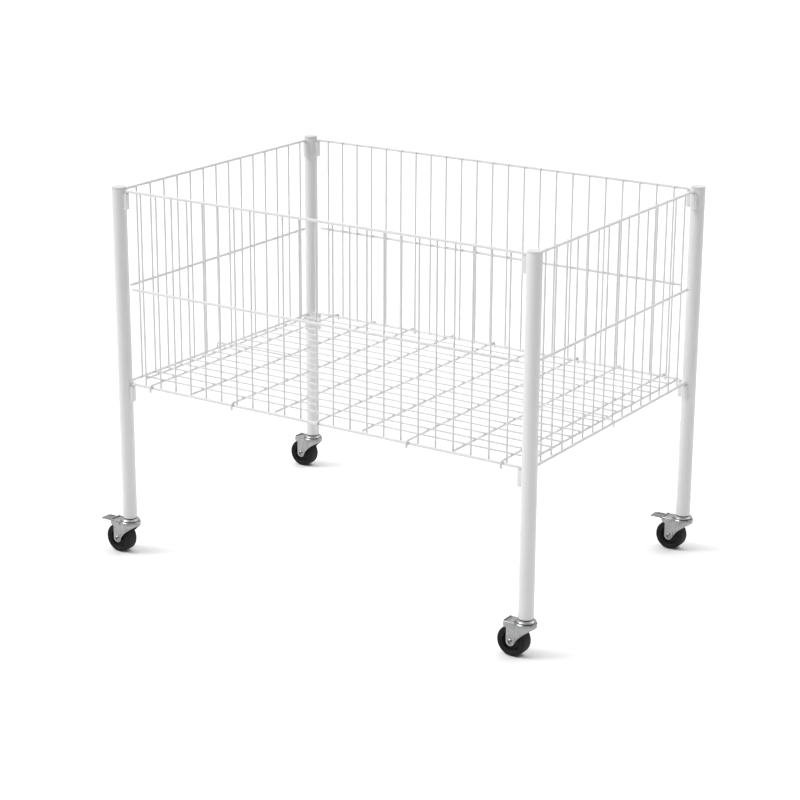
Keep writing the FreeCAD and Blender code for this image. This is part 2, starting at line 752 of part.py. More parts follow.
def make_pedal(corner):
    """The brake lever: a rolled barrel on its pin, a shoe over the tread and a flat tab to step on."""
    body = new_body(f"brake_pedal_{corner}")
    pivot_x, pivot_z = "(-pivot_setback)", f"({CROWN_UNDER} - pivot_drop)"
    barrel = "(barrel_diameter / 2)"
    top = f"({pivot_z} + {barrel})"
    under = f"({top} - pedal_thickness)"
    barrel_side = f"({pivot_x} - sqrt({barrel}^2 - ({barrel} - pedal_thickness)^2))"
    tread = "(wheel_diameter / 2 + shoe_clearance)"
    shoe_rear_z = f"({AXLE_Z} + sqrt({tread}^2 - (shoe_rear - trail)^2))"
    shoe_front_z = f"({AXLE_Z} + sqrt({tread}^2 - (shoe_front - trail)^2))"
    outline = [
        ("-pedal_tip", f"{under} - pedal_droop"),
        ("pedal_lip - pedal_tip", under),
        ("-shoe_rear - shoe_draft", under),
        ("-shoe_rear", shoe_rear_z),
        ("-shoe_front", shoe_front_z),
        ("shoe_draft / 2 - shoe_front", under),
        (barrel_side, under, (pivot_x, pivot_z, "ccw")),
        (pivot_x, top),
        ("pedal_lip - pedal_tip", top),
        ("-pedal_tip", f"{top} - pedal_droop"),
    ]
    sketch = new_sketch(body, "XZ_Plane", "side_view")
    add_path(sketch, outline)
    add_circle(sketch, pivot_x, pivot_z, "pivot_diameter + 2 * fit")
    plate = pad(body, sketch, "plate", "pedal_width", middle=True)
    tip = -value("pedal_tip")
    round_edges(body, plate, "pedal_corner", "corners",
                lambda middle, along: abs(middle.x - tip) < SAME and abs(along.z) > abs(along.y))
    place_at_post(body, corner)
    keep(body, f"brake_pedal_{corner}")


def make_brake_pin(corner):
    """The pedal's pivot, headed outside both flanges of the fork."""
    body = new_body(f"brake_pin_{corner}")
    pin, head = "(pivot_diameter / 2)", "(pin_head / 2)"
    seat, top = "(fork_width / 2)", "(fork_width / 2 + pin_head_height)"
    corners = [
        (0, f"-{top}"),
        (f"{head} - pin_edge", f"-{top}"),
        (head, f"-{seat}"),
        (pin, f"-{seat}"),
        (pin, seat),
        (head, seat),
        (f"{head} - pin_edge", top),
        (0, top),
    ]
    revolve(body, corners, "turned")
    place_on_axle(body, corner, "pivot_setback", f"{CROWN_UNDER} - pivot_drop")
    keep(body, f"brake_pin_{corner}")


# ---------------------------------------------------------------------------------------------
# The whole bin
# ---------------------------------------------------------------------------------------------
for corner in CORNERS:
    make_post(corner)
    make_cap(corner)
    make_insert(corner)
    make_sockets(corner)
    make_stem(corner)
    make_fork(corner)
    make_axle(corner)
    make_hub(corner)
    make_tyre(corner)
for corner in BRAKED:
    make_pedal(corner)
    make_brake_pin(corner)

for side, face, turn in (("front", -1, 0), ("back", 1, 180)):
    make_panel(side, "post_span_x", "long_upright_count", "long_upright_margin",
               None, f"{face} * post_span_y / 2", turn)
for side, face, turn in (("left", -1, 270), ("right", 1, 90)):
    make_panel(side, "post_span_y", f"{side}_upright_count", "short_upright_margin",
               f"{face} * post_span_x / 2", None, turn)
make_floor()

document.recompute()
for thing in document.Objects:
    if "Invalid" in thing.State or "Error" in thing.State:
        raise RuntimeError(f"{thing.Name} did not build: {thing.State}")
os.makedirs("parts", exist_ok=True)
for thing in sub_parts:
    shape = thing.Shape
    if shape.isNull() or not shape.isValid() or not shape.Solids:
        raise RuntimeError(f"{thing.Label} has no valid solid")
    shape.exportStep(f"parts/{thing.Label}.step")
    print(thing.Label, len(shape.Solids), round(shape.Volume))
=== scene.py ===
"""Retail dump bin in white powder-coated tube and welded wire, on zinc-plated swivel casters.

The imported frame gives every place. Each maker below dresses one kind of part: turned pieces,
bent wires with their welds, folded forks, wheels and brake pedals. Lengths are in metres.
"""

import json
import math

import bmesh
import bpy
from mathutils import Matrix, Vector


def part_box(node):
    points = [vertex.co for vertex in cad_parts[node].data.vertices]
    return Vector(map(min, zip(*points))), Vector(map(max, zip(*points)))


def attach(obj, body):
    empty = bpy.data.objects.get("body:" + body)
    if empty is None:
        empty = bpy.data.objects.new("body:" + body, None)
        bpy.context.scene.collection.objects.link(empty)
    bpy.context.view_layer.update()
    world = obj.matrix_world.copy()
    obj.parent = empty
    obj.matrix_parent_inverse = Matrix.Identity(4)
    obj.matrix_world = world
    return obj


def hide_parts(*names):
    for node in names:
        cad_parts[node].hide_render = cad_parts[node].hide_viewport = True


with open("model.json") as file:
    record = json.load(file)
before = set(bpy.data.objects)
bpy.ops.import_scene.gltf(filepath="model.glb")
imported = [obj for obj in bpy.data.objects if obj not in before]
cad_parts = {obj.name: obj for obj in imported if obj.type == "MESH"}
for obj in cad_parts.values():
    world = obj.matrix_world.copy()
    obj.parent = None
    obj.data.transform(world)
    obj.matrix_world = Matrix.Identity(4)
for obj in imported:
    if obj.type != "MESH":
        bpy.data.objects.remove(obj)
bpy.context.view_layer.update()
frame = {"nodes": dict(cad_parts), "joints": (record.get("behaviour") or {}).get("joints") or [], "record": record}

MM = 0.001
UP = Vector((0, 0, 1))
ALONG = Vector((1, 0, 0))
ACROSS = Vector((0, 1, 0))
QUARTER = math.pi / 2

# ---------------------------------------------------------------------------------------------
# Sizes that the dressing adds to the frame's own
# ---------------------------------------------------------------------------------------------
ROUND_WIRE_SIDES = 14
TURNED_SIDES = 72
RIVET_SIDES = 40
PIN_SIDES = 32
PRESSED_EDGE = 0.35 * MM

POST_RADIUS = 15 * MM
POST_WALL = 1.5 * MM
CAP_SETBACK = 0.1 * MM
CAP_DISH = 0.35 * MM
CAP_ROUND = 1.1 * MM

SOCKET_HEIGHT = 33 * MM
SOCKET_STRIP = 1.5 * MM
SOCKET_HALF_GAP = 3.5 * MM
SOCKET_HALF_WIDTH = SOCKET_HALF_GAP + SOCKET_STRIP
SOCKET_BEND = 2.5 * MM
SOCKET_BITE = 0.2 * MM
SEAM_AHEAD = 0.5 * MM
SEAM_FROM_END = 5 * MM
SEAM_SPREAD = 1.1 * MM
SEAM_HEIGHT = 4 * MM

RAIL_RADIUS = 3.0 * MM
RAIL_BEND = 5.5 * MM
RAIL_LEG = 35 * MM
LEG_INSET = 18.75 * MM
MIDDLE_RAIL_INSET = 28 * MM
UPRIGHT_RADIUS = 1.9 * MM
UPRIGHT_OVERRUN = 2.5 * MM
UPRIGHT_BITE = 0.15 * MM
LONG_MARGIN, SHORT_MARGIN = 51.8 * MM, 49 * MM
UPRIGHTS = {
    "front": (23, LONG_MARGIN),
    "back": (23, LONG_MARGIN),
    "left": (14, SHORT_MARGIN),
    "right": (15, SHORT_MARGIN),
}

FLOOR_WIRE_RADIUS = 1.9 * MM
FLOOR_WIRE_COUNT = 17
FLOOR_WIRE_PITCH = 37.7 * MM
FLOOR_WIRE_BITE = 0.1 * MM
FLOOR_END_GAP = 24 * MM
CROSS_WIRE_RADIUS = 2.5 * MM
CROSS_WIRE_PITCH, CROSS_WIRE_SHIFT = 8 / 3, 1 / 6  # in steps of the long panels' uprights
CROSS_HALF_COUNT = 4
END_HOOK_START = 273 * MM
END_HOOK_OFFSET = 15.1 * MM
END_HOOK_BEND = 6 * MM
END_HOOK_LEG = 4.6 * MM

WIRE_END_ROUND = 0.45 * MM
WELD_SPREAD = 2.4 * MM
WELD_HEIGHT = 1.6 * MM

SHEET = 2.0 * MM
STEM_RADIUS, STEM_CHAMFER = 5 * MM, 1 * MM
KINGPIN_RADIUS = 4 * MM
RIM_CLEARANCE = 2.4 * MM
RIVET_SHAFT, RIVET_HEAD_DEPTH = 3 * MM, 2.4 * MM
WHEEL_RADIUS = 31 * MM
WHEEL_BORE = 3.05 * MM
CORE_RECESS = 1.5 * MM
TYRE_SEAT = 22 * MM
TYRE_SHOULDER = 3 * MM
TREAD_BAND = 0.4 * MM

FORK_HALF_WIDTH = 16 * MM
FORK_FRONT = 18 * MM
FORK_FOLD = 3.2 * MM
FLANGE_DEPTH = 12 * MM
LEG_FILLET = 2.5 * MM
TOE_RADIUS = 9 * MM
EDGE_ANGLE, EDGE_SWEEP, EDGE_STEPS = math.radians(30), 96 * MM, 10
SKIRT_CUTS = 14
SKIRT_DROP, SKIRT_SETBACK, SKIRT_OVERLAP = 0.5 * MM, 0.03 * MM, 0.4 * MM
LIP_THICKNESS, LIP_RISE, LIP_SUNK = 1.3 * MM, 1.7 * MM, 0.5 * MM
LIP_INSET, LIP_ROUND = 3 * MM, 0.4 * MM
RING_BORE = 4.1 * MM

PEDAL_BARREL = 3 * MM
PEDAL_CORNER, PEDAL_EDGE = 5 * MM, 0.3 * MM
SHOE_GAP = 4 * MM
SHOE_REAR, SHOE_FRONT = 43.5 * MM, 36 * MM
PIN_SHAFT, PIN_HEAD_DEPTH = 2 * MM, 0.4 * MM


def joint_places(kind):
    """Where the joints of one kind stand, by the corner of the bin."""
    return {joint["name"].removeprefix(kind): Vector(joint["pos_m"])
            for joint in frame["joints"] if joint["name"].startswith(kind)}


posts = joint_places("caster_swivel_")
axles = joint_places("wheel_spin_")
pivots = joint_places("brake_press_")


# ---------------------------------------------------------------------------------------------
# Shader building
# ---------------------------------------------------------------------------------------------
class Signal:
    """A shader socket that Python operators can be used on."""

    def __init__(self, graph, socket):
        self.graph = graph
        self.socket = socket

    def combine(self, operation, first, second):
        return self.graph.get("Math", {"operation": operation}, {0: first, 1: second})

    def __add__(self, other):
        return self.combine("ADD", self, other)

    def __radd__(self, other):
        return self.combine("ADD", other, self)

    def __mul__(self, other):
        return self.combine("MULTIPLY", self, other)

    def __rmul__(self, other):
        return self.combine("MULTIPLY", other, self)

    def __pow__(self, other):
        return self.combine("POWER", self, other)


class Graph:
    """A node tree under construction."""

    def __init__(self, tree, coordinates):
        self.tree = tree
        self.tree.nodes.clear()
        self.place = self.get("TexCoord", {}, {}, coordinates)

    def node(self, kind, settings, values):
        """One node: its settings first, then the numbers or signals of its sockets."""
        made = self.tree.nodes.new(f"ShaderNode{kind}")
        for key, setting in settings.items():
            setattr(made, key, setting)
        for key, given in values.items():
            socket = made.inputs[key.replace("_", " ") if isinstance(key, str) else key]
            if isinstance(given, Signal):
                self.join(given.socket, socket)
            else:
                socket.default_value = given
        return made

    def get(self, kind, settings, values, output=0):
        return Signal(self, self.node(kind, settings, values).outputs[output])

    def join(self, source, target):
        self.tree.links.new(source, target)

    def noise(self, scale, detail=2.0, roughness=0.5, place=None):
        values = {"Vector": place or self.place, "Scale": scale, "Detail": detail,
                  "Roughness": roughness}
        return self.get("TexNoise", {}, values, "Fac")

    def between(self, signal, low, high, curve="LINEAR"):
        """The signal spread from one range to 0..1, held at its ends."""
        return self.get("MapRange", {"clamp": True, "interpolation_type": curve},
                        {"Value": signal, "From_Min": low, "From_Max": high})

    def facing(self, direction):
        """How far the place points along a direction, from 0 square to it up to 1."""
        along = self.get("VectorMath", {"operation": "DOT_PRODUCT"},
                         {0: self.place, 1: Vector(direction).normalized()}, "Value")
        return self.between(along, 0, 1)

    def blend(self, share, first, second):
        """One colour into another."""
        return self.get("Mix", {"data_type": "RGBA"}, {0: share, 6: first, 7: second}, 2)

    def stretched(self, x, y, z):
        return self.get("Mapping", {}, {"Vector": self.place, "Scale": (x, y, z)})


class Finish(Graph):
    """A material: one Principled shader and the nodes that feed it."""

    def __init__(self, name, **constants):
        self.material = bpy.data.materials.new(name)
        self.material.use_nodes = True
        super().__init__(self.material.node_tree, "Object")
        self.shader = self.node("BsdfPrincipled", {}, constants)
        surface = self.node("OutputMaterial", {}, {})
        self.join(self.shader.outputs[0], surface.inputs["Surface"])

    def feed(self, name, signal):
        self.join(signal.socket, self.shader.inputs[name])

    def emboss(self, height, distance, strength):
        values = {"Height": height, "Distance": distance, "Strength": strength}
        self.feed("Normal", self.get("Bump", {}, values))


def grey(level, warmth=0.0):
    """A neutral colour, a little warmer or cooler."""
    return (level * (1 + warmth), level, level * (1 - warmth), 1)


def powder_coat(name, level, peel_scale):
    """Baked white powder: an even skin with orange peel, faint clouds and a few rubbed marks."""
    finish = Finish(name, IOR=1.5)
    cloud = finish.noise(7, detail=3)
    rubbed = finish.between(finish.noise(38, detail=5, roughness=0.6), 0.66, 0.76)
    specks = finish.between(finish.noise(420, detail=1), 0.74, 0.8)
    clean = finish.blend(cloud, grey(level * 0.965, -0.006), grey(level * 1.02, 0.002))
    marked = finish.blend(rubbed * 0.3, clean, grey(level * 0.8, 0.01))
    finish.feed("Base Color", finish.blend(specks * 0.25, marked, grey(level * 0.6)))
    finish.feed("Roughness", 0.36 + finish.noise(60) * 0.12 + rubbed * 0.12)
    peel = finish.noise(peel_scale) + finish.noise(90, detail=1) * 0.8
    finish.emboss(peel, distance=0.12 * MM, strength=0.5)
    return finish.material


def cap_plastic():
    """Moulded polyethylene: softer sheen than the coating beside it, with a fine tool grain."""
    finish = Finish("cap_plastic", IOR=1.46)
    scuff = finish.between(finish.noise(90, detail=4, roughness=0.65), 0.6, 0.72)
    finish.feed("Base Color", finish.blend(scuff * 0.4, grey(0.62, -0.004), grey(0.55)))
    finish.feed("Roughness", 0.42 + finish.noise(300) * 0.15 + scuff * 0.1)
    finish.emboss(finish.noise(1500), distance=0.05 * MM, strength=0.6)
    return finish.material


def zinc_plate(name, level):
    """Bright zinc on pressed steel: rolled streaks, blue and straw tints, dull handled patches."""
    finish = Finish(name, Metallic=1.0)
    rolled = finish.stretched(60, 60, 1400)
    streaks = finish.noise(1.0, detail=4, roughness=0.6, place=rolled)
    tint = finish.noise(26)
    dull = finish.between(finish.noise(70, detail=5, roughness=0.65), 0.48, 0.68)
    spangle = finish.get("TexVoronoi", {}, {"Vector": finish.place, "Scale": 330.0}, "Distance")
    blue = (level * 0.97, level, level * 1.05, 1)
    straw = (level * 1.04, level * 1.02, level * 0.97, 1)
    shaded = finish.blend(streaks * 0.55, finish.blend(tint, blue, straw), grey(level * 0.76))
    finish.feed("Base Color", finish.blend(dull * 0.5, shaded, grey(level * 0.62, 0.01)))
    finish.feed("Roughness", 0.18 + streaks * 0.1 + dull * 0.14 + spangle * 0.04)
    finish.emboss(streaks + finish.noise(700) * 0.7, distance=0.08 * MM, strength=0.45)
    return finish.material


def core_plastic():
    """Black moulded wheel centre with patches of dust."""
    finish = Finish("core_plastic", IOR=1.48, Specular_IOR_Level=0.25)
    dust = finish.between(finish.noise(55, detail=5, roughness=0.65), 0.5, 0.75)
    finish.feed("Base Color", finish.blend(dust * 0.4, grey(0.008), grey(0.035, 0.03)))
    finish.feed("Roughness", 0.4 + dust * 0.25 + finish.noise(400) * 0.08)
    finish.emboss(finish.noise(1300), distance=0.05 * MM, strength=0.6)
    return finish.material


def tread_rubber():
    """Black rubber, greyed and roughened where it rolls; the attribute 'tread' marks that band."""
    finish = Finish("tread_rubber", IOR=1.5, Specular_IOR_Level=0.25)
    tread = finish.get("Attribute", {"attribute_name": "tread"}, {}, "Fac")
    patchy = finish.between(finish.noise(120, detail=5, roughness=0.65), 0.35, 0.7)
    worn = tread * (0.35 + patchy * 0.65)
    finish.feed("Base Color", finish.blend(worn * 0.5, grey(0.009), grey(0.04, 0.02)))
    finish.feed("Roughness", 0.5 + worn * 0.3 + finish.noise(500) * 0.08)
    grain = finish.noise(900, detail=3) + patchy * tread * 0.8
    finish.emboss(grain, distance=0.1 * MM, strength=0.6)
    return finish.material


def insert_plastic():
    """Black polyamide with a soft mould grain."""
    finish = Finish("insert_plastic", IOR=1.46)
    finish.feed("Base Color", finish.blend(finish.noise(80, detail=3), grey(0.03), grey(0.05)))
    finish.feed("Roughness", 0.45 + finish.noise(300) * 0.15)
    finish.emboss(finish.noise(1200), distance=0.05 * MM, strength=0.5)
    return finish.material


FINISHES = {
    "white_steel": powder_coat("post_coat", 0.7, 620),
    "white_wire": powder_coat("wire_coat", 0.68, 900),
    "zinc_steel": zinc_plate("zinc_plate", 0.36),
    "wheel_core": core_plastic(),
    "wheel_rubber": tread_rubber(),
    "cap_plastic": cap_plastic(),
    "insert_plastic": insert_plastic(),
}
DULL_ZINC = zinc_plate("dull_zinc", 0.21)


# ---------------------------------------------------------------------------------------------
# Mesh building
# ---------------------------------------------------------------------------------------------
def finish_piece(bm, name, slot, body, *nodes, sharp=35, material=None):
    """Turn a bmesh into a piece of the part that stands for CAD nodes and rides on their body."""
    bmesh.ops.remove_doubles(bm, verts=bm.verts, dist=1e-6)
    bmesh.ops.recalc_face_normals(bm, faces=bm.faces)
    mesh = bpy.data.meshes.new(name)
    bm.to_mesh(mesh)
    bm.free()
    mesh.shade_smooth()
    mesh.set_sharp_from_angle(angle=math.radians(sharp))
    mesh.materials.append(material or FINISHES[slot])
    piece = bpy.data.objects.new(name, mesh)
    bpy.context.scene.collection.objects.link(piece)
    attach(piece, body)
    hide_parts(*nodes)


def verts_of(geom):
    return [part for part in geom if isinstance(part, bmesh.types.BMVert)]


def edges_of(geom):
    return [part for part in geom if isinstance(part, bmesh.types.BMEdge)]


def arc(x, y, radius, start, stop, steps):
    """Points on an arc about (x, y) from one angle to another, both ends counted."""
    turns = [start + (stop - start) * step / steps for step in range(steps + 1)]
    return [(x + radius * math.cos(turn), y + radius * math.sin(turn)) for turn in turns]


def mirrored(side):
    """An outline given down to its second coordinate's zero, carried on to its mirror image."""
    return side + [(first, -second) for first, second in reversed(side)]


def soften(bm, edges, width, segments, clamp=False):
    bmesh.ops.bevel(bm, geom=edges, offset=width, offset_type="OFFSET", segments=segments,
                    profile=0.5, affect="EDGES", material=-1, clamp_overlap=clamp)


def round_sharp(bm, width, segments=2, angle=40):
    """Ease every edge that turns by more than the angle."""
    limit = math.radians(angle)
    edges = [edge for edge in bm.edges
             if len(edge.link_faces) == 2 and edge.calc_face_angle(0) > limit]
    soften(bm, edges, width, segments, clamp=True)


def turn_profile(bm, profile, sides=TURNED_SIDES, closed=False):
    """Spin a profile of (radius, height) about Z: closed, it makes a ring, and open, a solid."""
    chain = [bm.verts.new((radius, 0, height)) for radius, height in profile]
    ahead = chain[1:] + chain[:1] if closed else chain[1:]
    edges = [bm.edges.new(pair) for pair in zip(chain, ahead)]
    bmesh.ops.spin(bm, geom=chain + edges, cent=(0, 0, 0), axis=UP, angle=math.tau, steps=sides,
                   use_merge=True, use_duplicate=False)
    bmesh.ops.remove_doubles(bm, verts=bm.verts, dist=1e-7)
    bmesh.ops.recalc_face_normals(bm, faces=bm.faces)


def stand_under(bm, post):
    """Move a shape made about the Z axis to a post's axis."""
    bmesh.ops.translate(bm, verts=bm.verts, vec=Vector((post.x, post.y, 0)))


def lay_across(bm, place):
    """Lay a shape that was turned about Z along Y, with its middle at the place."""
    bmesh.ops.rotate(bm, verts=bm.verts, cent=(0, 0, 0),
                     matrix=Matrix.Rotation(-QUARTER, 3, "X"))
    bmesh.ops.translate(bm, verts=bm.verts, vec=place)


def raise_outline(bm, outline, lift):
    """Make a solid from a flat outline of points by drawing it along a vector."""
    face = bm.faces.new([bm.verts.new(point) for point in outline])
    grown = bmesh.ops.extrude_face_region(bm, geom=[face])["geom"]
    bmesh.ops.translate(bm, verts=verts_of(grown), vec=lift)
    bmesh.ops.recalc_face_normals(bm, faces=bm.faces)


class Strand:
    """A round wire that grows from a ring: straight runs and bends, then a capped end."""

    def __init__(self, bm, start, heading, radius):
        self.bm = bm
        self.at = Vector(start)
        self.heading = Vector(heading).normalized()
        turn = UP.rotation_difference(self.heading).to_matrix().to_4x4()
        made = bmesh.ops.create_circle(bm, cap_ends=True, radius=radius,
                                       segments=ROUND_WIRE_SIDES,
                                       matrix=Matrix.Translation(self.at) @ turn)
        self.ring = list({edge for vert in made["verts"] for edge in vert.link_edges})
        self.first = self.ring

    def run(self, length):
        """A straight stretch."""
        grown = bmesh.ops.extrude_edge_only(self.bm, edges=self.ring)["geom"]
        step = self.heading * length
        bmesh.ops.translate(self.bm, verts=verts_of(grown), vec=step)
        old = set(self.ring)
        self.ring = [edge for edge in edges_of(grown)
                     if edge not in old and len(edge.link_faces) == 1]
        self.at += step
        return self

    def bend(self, towards, radius, steps=5):
        """A quarter turn towards a direction square to the heading."""
        towards = Vector(towards).normalized()
        centre = self.at + towards * radius
        axis = self.heading.cross(towards)
        grown = bmesh.ops.spin(self.bm, geom=self.ring, cent=centre, axis=axis, angle=QUARTER,
                               steps=steps, use_merge=False, use_duplicate=False)["geom_last"]
        self.ring = edges_of(grown)
        self.at = centre + self.heading * radius
        self.heading = towards
        return self

    def end(self):
        """The cap, with both ends of the wire eased."""
        bmesh.ops.holes_fill(self.bm, edges=self.ring, sides=ROUND_WIRE_SIDES)
        soften(self.bm, self.first + self.ring, WIRE_END_ROUND, segments=2)


def repeat(bm, step, count):
    """Copy all that the bmesh holds, count times in all, a step apart."""
    first = list(bm.verts) + list(bm.edges) + list(bm.faces)
    for number in range(1, count):
        copied = bmesh.ops.duplicate(bm, geom=first)["geom"]
        bmesh.ops.translate(bm, verts=verts_of(copied), vec=step * number)


def merge_in(bm, other):
    """Take another bmesh's shape into this one."""
    mesh = bpy.data.meshes.new("passing")
    other.to_mesh(mesh)
    other.free()
    bm.from_mesh(mesh)
    bpy.data.meshes.remove(mesh)


def weld(bm, place, normal, spread=WELD_SPREAD, height=WELD_HEIGHT):
    """A small nugget of fused metal: its spread across the normal, its height along it."""
    squash = Matrix.Diagonal((spread, spread, height, 1))
    turn = UP.rotation_difference(Vector(normal)).to_matrix().to_4x4()
    bmesh.ops.create_icosphere(bm, subdivisions=2, radius=1.0,
                               matrix=Matrix.Translation(place) @ turn @ squash)


# ---------------------------------------------------------------------------------------------
# Posts, caps and sockets
# ---------------------------------------------------------------------------------------------
def make_tube(corner):
    """A post: plain round tube with broken edges."""
    low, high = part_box(f"post_{corner}")
    outside = (high.x - low.x) / 2
    inside = outside - POST_WALL
    bm = bmesh.new()
    turn_profile(bm, [
        (inside, low.z),
        (outside, low.z),
        (outside, high.z),
        (inside, high.z),
    ], closed=True)
    round_sharp(bm, PRESSED_EDGE)
    stand_under(bm, posts[corner])
    finish_piece(bm, f"tube_{corner}", "white_steel", "bin_frame", f"post_{corner}")


def make_cap(corner):
    """A pressed-in plug with a softly rounded rim and a shallow dished top."""
    low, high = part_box(f"post_cap_{corner}")
    tube_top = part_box(f"post_{corner}")[1].z
    rim = (high.x - low.x) / 2 - CAP_SETBACK
    plug = rim - POST_WALL
    bm = bmesh.new()
    turn_profile(bm, [
        (0, high.z - CAP_DISH),
        (rim * 0.55, high.z - CAP_DISH * 0.8),
        (rim * 0.8, high.z),
        (rim, high.z),
        (rim, tube_top),
        (plug, tube_top),
        (plug, low.z),
        (0, low.z),
    ])
    round_sharp(bm, CAP_ROUND, segments=4)
    stand_under(bm, posts[corner])
    finish_piece(bm, f"cap_{corner}", "cap_plastic", "bin_frame", f"post_cap_{corner}")


def socket_section(reach):
    """A strip bent into a loop against the post, seen from above, the post's axis at the origin."""
    def foot(offset):
        return math.sqrt(POST_RADIUS ** 2 - offset ** 2) - SOCKET_BITE

    centre = (reach - SOCKET_BEND, SOCKET_HALF_WIDTH - SOCKET_BEND)
    outside = [(foot(SOCKET_HALF_WIDTH), SOCKET_HALF_WIDTH)]
    outside += arc(*centre, SOCKET_BEND, QUARTER, 0, steps=4)
    inside = [(foot(SOCKET_HALF_GAP), SOCKET_HALF_GAP)]
    inside += arc(*centre, SOCKET_BEND - SOCKET_STRIP, QUARTER, 0, steps=4)
    return mirrored(outside) + mirrored([(x, -y) for x, y in inside])


def make_sockets(corner):
    """Four loops on one post, each held by short seams of weld on both sides."""
    low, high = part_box(f"sockets_{corner}")
    post = posts[corner]
    section = socket_section(max(high.x - post.x, post.x - low.x))
    seam_ahead = section[0][0] + SEAM_AHEAD
    bm = bmesh.new()
    for way in (ALONG * -math.copysign(1, post.x), ACROSS * -math.copysign(1, post.y)):
        side = UP.cross(way)
        for foot in (low.z, high.z - SOCKET_HEIGHT):
            loop = bmesh.new()
            outline = [way * x + side * y + UP * foot for x, y in section]
            raise_outline(loop, outline, UP * SOCKET_HEIGHT)
            round_sharp(loop, PRESSED_EDGE, angle=60)
            for y in (-SOCKET_HALF_WIDTH, SOCKET_HALF_WIDTH):
                for z in (foot + SEAM_FROM_END, foot + SOCKET_HEIGHT - SEAM_FROM_END):
                    seam = way * seam_ahead + side * y + UP * z
                    weld(loop, seam, UP, SEAM_SPREAD, SEAM_HEIGHT)
            merge_in(bm, loop)
    stand_under(bm, post)
    finish_piece(bm, f"loops_{corner}", "white_steel", "bin_frame", f"sockets_{corner}")


# ---------------------------------------------------------------------------------------------
# Wire panels and floor
# ---------------------------------------------------------------------------------------------
def panel_frame(side):
    """Where a panel stands: its middle, the ways along it and into the basket, and its extent."""
    low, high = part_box(f"panel_{side}")
    inwards = {"front": ACROSS, "back": -ACROSS, "left": ALONG, "right": -ALONG}[side]
    along = UP.cross(inwards) * -1
    thickness = abs((high - low).dot(inwards))
    length = abs((high - low).dot(along))
    rail_plane = (low + high) / 2 - inwards * (thickness / 2 - RAIL_RADIUS)
    return Vector((rail_plane.x, rail_plane.y, 0)), along, inwards, length, low.z, high.z


def make_panel(side):
    """Top and bottom rails with down-turned ends, a straight middle rail, welded uprights."""
    middle, along, inwards, length, foot, top = panel_frame(side)
    count, margin = UPRIGHTS[side]
    half_leg = length / 2 - RAIL_RADIUS
    half_span = half_leg + LEG_INSET
    bottom_z = foot + RAIL_LEG
    top_z = top - RAIL_RADIUS
    middle_z = (top_z + bottom_z) / 2

    bm = bmesh.new()
    leg = RAIL_LEG - RAIL_BEND
    for rail_z in (bottom_z, top_z):
        rail = Strand(bm, middle - along * half_leg + UP * (rail_z - RAIL_LEG), UP, RAIL_RADIUS)
        rail.run(leg).bend(along, RAIL_BEND).run(2 * (half_leg - RAIL_BEND))
        rail.bend(-UP, RAIL_BEND).run(leg).end()
    half_rail = half_span - MIDDLE_RAIL_INSET
    rail = Strand(bm, middle - along * half_rail + UP * middle_z, along, RAIL_RADIUS)
    rail.run(2 * half_rail).end()

    uprights = bmesh.new()
    spread = half_span - margin
    first = middle - along * spread + inwards * (RAIL_RADIUS + UPRIGHT_RADIUS - UPRIGHT_BITE)
    upright = Strand(uprights, first + UP * (bottom_z - UPRIGHT_OVERRUN), UP, UPRIGHT_RADIUS)
    upright.run(top_z - bottom_z + 2 * UPRIGHT_OVERRUN).end()
    for rail_z in (bottom_z, middle_z, top_z):
        weld(uprights, first - inwards * UPRIGHT_RADIUS + UP * rail_z, inwards)
    repeat(uprights, along * (2 * spread / (count - 1)), count)
    merge_in(bm, uprights)
    finish_piece(bm, f"wires_{side}", "white_wire", "bin_frame", f"panel_{side}")


